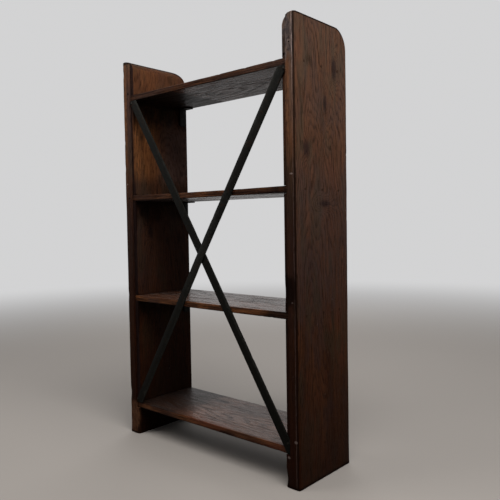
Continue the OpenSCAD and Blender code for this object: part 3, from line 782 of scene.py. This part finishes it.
def mark_board(me, side, seed):
    """Where the board is rubbed, where it is dirty or carries painted shade, and where the stain has worn to amber or
    carries painted light.
    """
    q = vertex_values(me, "co")
    x, y, z = q[:, 0] * side, q[:, 1], q[:, 2]
    patch = cloud(q, (0.06, 0.06, 0.14), seed + 9)
    small = cloud(q, (0.012, 0.012, 0.03), seed + 10)
    beside_arris = x < OUT_X - ARRIS + 0.001
    at_back = smooth(0.0022, 0.0006, BACK_Y - y)
    wear = smooth(0.004, 0.0, np.hypot(x - IN_X, y - FRONT_Y)) * (0.25 + 0.4 * patch)
    wear = np.maximum(wear, at_back * (0.10 + 0.20 * patch) * smooth(0.55, 1.0, z))
    wear = np.maximum(wear, 0.34 * smooth(0.02, 0.0, HIGH - z) * small)
    if side == LEFT:
        top_worn = smooth(0.185, 0.060, HIGH - z) * smooth(0.0092, 0.0078, BACK_Y - y) * beside_arris
        tiny = cloud(q, (0.008, 0.008, 0.016), seed + 12)
        wear = np.maximum(wear, top_worn * (0.50 + 0.40 * small + 0.35 * tiny))

    at_inner = smooth(0.004, 0.0, np.abs(x - IN_X))
    dirt = 0.75 * smooth(0.012, 0.0, z) + 0.3 * smooth(0.07, 0.0, z)
    # Painted shade where the shelves meet the inner faces and under each shelf
    for lo, hi in SHELF_Z:
        gap = np.maximum(0, np.maximum(lo - z, z - hi))
        dirt += 0.55 * smooth(0.014, 0.0, gap) * at_inner
        dirt += 0.75 * smooth(0.14, 0.02, lo - z) * (z < lo) * at_inner
    # Painted shade in the rebates
    in_rebate = (x < IN_X + REBATE_W + 0.0005) & (y > FLOOR_Y - 0.003) & (z > REBATE_Z[side])
    dirt = dirt + 0.45 * in_rebate * smooth(HIGH - 0.11, HIGH - 0.14, z)
    if side == LEFT:
        high_part = smooth(HIGH - 0.03, HIGH - 0.06, z) * smooth(HIGH - 0.14, HIGH - 0.11, z)
        dirt = dirt + 0.55 * in_rebate * high_part
        on_edge = smooth(0.012, 0.008, BACK_Y - y) * beside_arris
        dirt = dirt + on_edge * smooth(0.062, 0.018, np.abs(z - DAMAGE_Z)) * (0.5 + 0.5 * small)
        stain = smooth(0.030, 0.004, np.hypot(y - STAIN_Y, (z - STAIN_Z) * 0.8))
        dirt = dirt + 0.55 * stain * (x > OUT_X - 0.002) * small
    for sx, sy, sz, r, depth in KNOCKS[side]:
        if depth > DEEP_KNOCK:
            dirt = dirt + 0.5 * smooth(r * 1.1, r * 0.3, from_knock(np.column_stack([x, y, z]), sx, sy, sz))

    # Amber of the worn stain, which also paints light: it grows higher up, and is painted light on the right board's
    # outer back arris and on the back part of its inner face from the top bay up
    back_face = smooth(0.003, 0.0005, BACK_Y - y) * (x < OUT_X - ARRIS)
    amber_and_light = 0.10 + 0.25 * patch * smooth(0.2, 0.9, z)
    rise = smooth(0.60, 1.02, z)
    if side == LEFT:
        upper_edge = back_face * (0.15 + 0.85 * rise) * smooth(1.15, 1.04, z) * (0.60 + 0.40 * patch)
        amber_and_light = np.maximum(amber_and_light, upper_edge)
        amber_and_light = np.maximum(amber_and_light, 0.45 * back_face * smooth(1.06, 1.13, z) * small)
    else:
        outer_part = back_face * smooth(OUT_X - 0.026, OUT_X - 0.014, x)
        outer_part = outer_part + smooth(0.009, 0.0, BACK_Y - y) * (x > OUT_X - ARRIS)
        amber_and_light = np.maximum(amber_and_light, np.minimum(outer_part, 1) * (0.20 + 0.8 * rise) * (0.8 + 0.2 * patch))
        inner_face = (x < IN_X + 0.002) * smooth(-0.06, 0.06, y) * smooth(0.78, 0.86, z)
        amber_and_light = np.maximum(amber_and_light, inner_face * (0.25 + 0.75 * smooth(0.3, 0.8, patch * 0.6 + small * 0.5)))
    attribute(me, "amber_and_light", amber_and_light)
    attribute(me, "wear", wear)
    attribute(me, "dirt", dirt)


add("worn_right_end_board", board_mesh(RIGHT, 11), oak_right, "right_end_board")
add("worn_left_end_board", board_mesh(LEFT, 23), oak_left, "left_end_board")


# -------------------- shelves

def shelf_section(yf, yb, z0, z1):
    """Section of a shelf with eased arrises: (y, z) points, from the front's lower arris round."""
    low, top = LOW_ARRIS, TOP_ARRIS
    return (arc(yf + low, z0 + low, low, 1, 1.5, 5) + line((yf + low, z0), (yb - low, z0), 43)[1:]
            + arc(yb - low, z0 + low, low, 1.5, 2, 5) + line((yb, z0 + low), (yb, z1 - top), 7)[1:]
            + arc(yb - top, z1 - top, top, 0, 0.5, 6) + line((yb - top, z1), (yf + top, z1), 43)[1:]
            + arc(yf + top, z1 - top, top, 0.5, 1, 6) + line((yf, z1 - top), (yf, z0 + low), 7)[1:])


def shelf_mesh(i, seed):
    """A shelf with rubbed and knocked edges and a hollow tread."""
    lo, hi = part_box(SHELVES[i])
    x_end = hi.x - 2 * SKIN
    step = 0.0006                       # beside the face of the board, where the shelf gets narrower
    xs = np.unique(np.round(np.concatenate([
        np.linspace(-x_end, -IN_X - step, 4), [-IN_X + step], np.linspace(-IN_X + 0.004, IN_X - 0.004, 170),
        [IN_X - step], np.linspace(IN_X + step, x_end, 4)]), 6))
    rings = []
    for x in xs:
        yf = (lo.y if abs(x) < IN_X else FRONT_Y + TONGUE_Y) + 2 * SKIN
        pts = shelf_section(yf, hi.y - SKIN, lo.z + SKIN, hi.z - SKIN)
        rings.append(np.column_stack([np.full(len(pts), x), np.array(pts)]))
    me = loft("shelf", rings)
    co = vertex_values(me, "co")
    x, y, z = co.T
    near = np.minimum(np.hypot(hi.y - y, hi.z - z), np.hypot(y - lo.y, hi.z - z))
    near_low = np.minimum(np.hypot(hi.y - y, z - lo.z), np.hypot(y - lo.y, z - lo.z))
    knocks = smooth(0.4, 0.95, noise(co, (0.016, 0.012, 0.012), seed + 5))
    bumps = cloud(co, (0.03, 0.02, 0.02), seed)
    pull = 0.0001 + 0.0004 * cloud(co, (0.15, 0.06, 0.03), seed + 1)
    pull = pull + smooth(0.008, 0.0, near) * (0.0007 * bumps + 0.0010 * knocks)
    pull = pull + smooth(0.006, 0.0, near_low) * (0.0004 * bumps + 0.0012 * knocks)
    pull = pull * (1 - 0.8 * smooth(IN_X - 0.001, IN_X + 0.001, np.abs(x)))     # less in the housings
    co = co - vertex_values(me, "normal") * pull[:, None]
    # Books have worn the tread of each shelf a little hollow
    co[:, 2] -= 0.0009 * (1 - (x / IN_X) ** 2).clip(0) * smooth((lo.z + hi.z) / 2, hi.z - 0.001, z)
    set_coords(me, co)
    mark_shelf(me, i, seed, co, lo, hi)
    return me


def mark_shelf(me, i, seed, co, lo, hi):
    """Where the shelf is rubbed or carries painted sheen, where it is dirty or carries painted shade, and where the
    stain has worn to amber.
    """
    x, y, z = co.T
    face = smooth(hi.y - 0.0030, hi.y - 0.0045, y) * smooth(lo.y + 0.0030, lo.y + 0.0045, y)
    edges = 1 - face
    top = smooth(hi.z - 0.004, hi.z - 0.0012, z)
    under = smooth(lo.z + 0.004, lo.z + 0.0012, z) * face
    patch = cloud(co, (0.12, 0.05, 0.05), seed + 3)
    # Rubbed wear on the treads, whose pale grey also stands for painted sheen
    wear = top * face * (TREAD_WEAR_AND_SHEEN[i] + 0.34 * patch)
    # Painted reflection: pale grey on the undersides of the two upper shelves
    if i in UNDER_SHEEN:
        least, more = UNDER_SHEEN[i]
        wear = np.maximum(wear, under * (least + more * patch))

    from_right = IN_X - x
    # Darker where the treads meet the boards
    dirt = 0.5 * smooth(0.03, 0.0, IN_X - np.abs(x)) * top
    # Painted shade under the two lowest shelves
    if i in (BOTTOM, LOWER):
        dirt = dirt + 0.25 * under
    # Painted shadow under the shelves beside the right board
    dirt = dirt + under * smooth(0.22, 0.15, from_right)
    dirt = dirt + 0.8 * smooth(lo.z + 0.0042, lo.z + 0.0012, z) * smooth(hi.y - 0.004, hi.y - 0.002, y)
    if i == BOTTOM:
        dirt = dirt + 0.86 * top * smooth(0.34, 0.10, from_right) + 0.30 * edges * smooth(0.25, 0.10, from_right)
    if i in (LOWER, UPPER):
        dirt = dirt + 0.65 * edges * smooth(-0.14, -0.27, x)
    dirt = dirt + 0.3 * smooth(0.25, 0.75, noise(co, (0.09, 0.03, 0.03), seed + 7))

    foxy = smooth(0.35, 0.75, cloud(co, (0.045, 0.02, 0.010), seed + 11))
    amber_and_light = edges * (0.10 + foxy) * BACK_AMBER[i] + 0.15 * patch * face
    if i == BOTTOM:
        amber_and_light = amber_and_light + 0.34 * top * face * smooth(0.34, 0.14, from_right)
    attribute(me, "wear", wear)
    attribute(me, "dirt", dirt)
    attribute(me, "amber_and_light", amber_and_light)


for i, s in enumerate(SHELVES):
    ob = add(f"worn_{s}", shelf_mesh(i, 31 + 7 * i), shelf_oaks[i], s)
    ob.data.materials.append(edge_oaks[i])
    for f in ob.data.polygons:
        f.material_index = 1 if abs(f.normal.y) > 0.6 else 0        # the front and back edges


# -------------------- iron

def eased(node):
    """A copy of a CAD node's mesh with its sharp edges eased."""
    me = nodes[node].data.copy()
    me.name = node + "_eased"
    bm = bmesh.new()
    bm.from_mesh(me)
    bmesh.ops.remove_doubles(bm, verts=bm.verts, dist=2e-6)
    bmesh.ops.dissolve_limit(bm, angle_limit=math.radians(0.02), verts=bm.verts, edges=bm.edges)
    sharp = [e for e in bm.edges if len(e.link_faces) == 2 and e.calc_face_angle(0) > math.radians(35)]
    bmesh.ops.bevel(bm, geom=sharp, offset=IRON_EASE, offset_type="OFFSET", segments=2, profile=0.5,
                    affect="EDGES", clamp_overlap=True)
    bmesh.ops.triangulate(bm, faces=[f for f in bm.faces if len(f.verts) > 4])
    bm.to_mesh(me)
    bm.free()
    return me


def rings_across(me, axis, step):
    """Cuts the mesh into short lengths along an axis, so that its edges can be nicked."""
    bm = bmesh.new()
    bm.from_mesh(me)
    axis = Vector(axis).normalized()
    ds = [v.co.dot(axis) for v in bm.verts]
    d = min(ds) + step
    while d < max(ds) - step / 2:
        bmesh.ops.bisect_plane(bm, geom=bm.verts[:] + bm.edges[:] + bm.faces[:], dist=1e-6,
                               plane_co=axis * d, plane_no=axis)
        d += step
    bm.to_mesh(me)
    bm.free()


def strap_piece(name, node, seed):
    """A forged strap, slightly uneven in width and nicked between its ends."""
    me = eased(node)
    lo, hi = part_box(node)
    sx = 1 if node.startswith("inner") else -1
    axis = (sx * (hi.x - lo.x), 0, hi.z - lo.z)
    rings_across(me, axis, 0.012)
    a = np.array(axis) / np.linalg.norm(axis)
    across_dir = np.array([-a[2], 0, a[0]])
    co = vertex_values(me, "co")
    from_middle = co - np.array([0, 0, (lo.z + hi.z) / 2])
    along, across = from_middle @ a, from_middle @ across_dir
    edge_line = np.column_stack([along, np.sign(across), 0 * along])
    narrow = 0.00045 * cloud(edge_line, (0.045, 1, 1), seed)
    nick = 0.0009 * smooth(0.55, 0.95, noise(edge_line, (0.02, 1, 1), seed + 3))
    edge = smooth(STRAP_HALF - 0.004, STRAP_HALF, np.abs(across))
    free = smooth(0.50, 0.40, np.abs(along))
    co -= (np.sign(across) * edge * (narrow + nick) * free)[:, None] * across_dir
    set_coords(me, co)
    attribute(me, "wear", edge * 0.75)
    add(name, me, strap_iron, node, 30)


strap_piece("forged_inner_strap", "inner_brace_strap", 3)
strap_piece("forged_outer_strap", "outer_brace_strap", 8)

for level in ("top", "upper", "lower"):
    for hand in ("left", "right"):
        node = f"{level}_{hand}_bracket"
        me = eased(node)
        attribute(me, "wear", np.full(len(me.vertices), 0.25))
        add(f"forged_{node}", me, bracket_iron, node, 30)

FASTENERS = {"strap_screws": screw_steel, "bracket_screws": screw_steel,
             "shelf_nails": nail_steel, "nail_stoppings": dark_wax}
for node, ob in nodes.items():
    for ending, material in FASTENERS.items():
        if node.endswith(ending):
            ob.data.materials.clear()
            ob.data.materials.append(material)


# -------------------- floor, light and camera

PALE = (0.65, 0.65, 0.655)
FLOOR_LIT, FLOOR_SEEN = (0.17, 0.16, 0.15), (0.298, 0.273, 0.253)      # to the object, to the camera
FLOOR_HALF, FLOOR_DROP = 14.0, 0.0002
FADE_NEAR, FADE_FAR = 1.6, 5.2


def seen_rays(tree):
    """1 for the rays that show the backdrop: from the camera, mirrored or let through. 0 for the rest."""
    rays = tree.nodes.new("ShaderNodeLightPath").outputs
    out = rays["Is Camera Ray"]
    for kind in ("Is Glossy Ray", "Is Transmission Ray"):
        n = tree.nodes.new("ShaderNodeMath")
        n.operation = "MAXIMUM"
        tree.links.new(out, n.inputs[0])
        tree.links.new(rays[kind], n.inputs[1])
        out = n.outputs[0]
    return out


def floor_plane():
    """A pale floor that fades into the backdrop far away."""
    bm = bmesh.new()
    bmesh.ops.create_grid(bm, x_segments=2, y_segments=2, size=FLOOR_HALF)
    me = bpy.data.meshes.new("studio_floor")
    bm.to_mesh(me)
    bm.free()
    ob = bpy.data.objects.new("studio_floor", me)
    bpy.context.scene.collection.objects.link(ob)
    g = Graph("pale_floor", Roughness=0.7)
    x, y = g.split(g.pos)[:2]
    distance = g.math("SQRT", g.total(g.times(x, x), g.times(y, y)))
    far = g.range(distance, FADE_NEAR, FADE_FAR)
    seen = seen_rays(g.tree)
    g.color = g.mix(seen, FLOOR_LIT, FLOOR_SEEN)
    g.finish()
    glow = g.node("Emission")
    g.put(glow.inputs["Color"], PALE)
    blend = g.node("MixShader")
    for socket, value in zip(blend.inputs, (g.times(far, seen), g.bsdf.outputs[0], glow.outputs[0])):
        g.put(socket, value)
    g.put(g.out.inputs[0], blend.outputs[0])
    me.materials.append(g.mat)
    ob.location.z = -FLOOR_DROP


def studio_world():
    """A weak, even light, with the pale backdrop where it is seen."""
    world = bpy.data.worlds.new("studio")
    bpy.context.scene.world = world
    world.use_nodes = True
    tree = world.node_tree
    tree.nodes.clear()
    blend = tree.nodes.new("ShaderNodeMixShader")
    tree.links.new(seen_rays(tree), blend.inputs[0])
    for k, color, strength in ((1, (0.95, 0.97, 1.0), 0.11), (2, PALE, 1.0)):
        n = tree.nodes.new("ShaderNodeBackground")
        n.inputs["Color"].default_value = (*color, 1)
        n.inputs["Strength"].default_value = strength
        tree.links.new(n.outputs[0], blend.inputs[k])
    tree.links.new(blend.outputs[0], tree.nodes.new("ShaderNodeOutputWorld").inputs[0])


def area(name, at, to, size, power, color):
    """A soft rectangular lamp that faces a point."""
    light = bpy.data.lights.new(name, "AREA")
    light.shape, light.size, light.size_y, light.energy, light.color = "RECTANGLE", size[0], size[1], power, color
    o = bpy.data.objects.new(name, light)
    bpy.context.scene.collection.objects.link(o)
    o.location = at
    o.rotation_mode = "QUATERNION"
    o.rotation_quaternion = (Vector(to) - Vector(at)).to_track_quat("-Z", "Y")
    return o


def photo_camera():
    """The camera that was fitted to the photo: its place, turn, focal length and image shift."""
    place = (-1.232, 1.292, 0.685)
    yaw, pitch, roll = math.radians(41.52), math.radians(2.45), math.radians(-0.91)
    image_px, focal_px, shift_px = 500, 591.7, (0.3, -3.4)
    sensor = 36.0
    forward = Vector((math.sin(yaw) * math.cos(pitch), -math.cos(yaw) * math.cos(pitch), -math.sin(pitch)))
    level_right = forward.cross(Vector((0, 0, 1))).normalized()
    level_up = level_right.cross(forward)
    right = math.cos(roll) * level_right + math.sin(roll) * level_up
    up = -math.sin(roll) * level_right + math.cos(roll) * level_up
    data = bpy.data.cameras.new("camera")
    cam = bpy.data.objects.new("camera", data)
    bpy.context.scene.collection.objects.link(cam)
    bpy.context.scene.camera = cam
    cam.rotation_mode = "QUATERNION"
    cam.rotation_quaternion = Matrix((right, up, -forward)).transposed().to_quaternion()
    cam.location = place
    data.sensor_width = sensor
    data.lens = focal_px / image_px * sensor
    data.shift_x, data.shift_y = -shift_px[0] / image_px, shift_px[1] / image_px
    data.clip_start, data.clip_end = 0.05, 60


floor_plane()
studio_world()
area("ceiling_softbox", at=(-1.40, 0.64, 2.9), to=(0.0, 0.0, 0.7), size=(1.9, 1.9), power=97, color=(1.0, 0.985, 0.96))
area("side_softbox", at=(1.30, 1.70, 2.5), to=(0.0, 0.0, 0.85), size=(1.3, 1.3), power=26, color=(1.0, 0.975, 0.94))
front = area("front_softbox", at=(1.9, -2.6, 2.0), to=(0.0, 0.0, 0.5), size=(2.0, 1.6), power=40,
             color=(0.98, 0.99, 1.0))
front.visible_glossy = False            # its mirror image would whiten the shelves
photo_camera()

bpy.context.scene.view_settings.view_transform = "Standard"
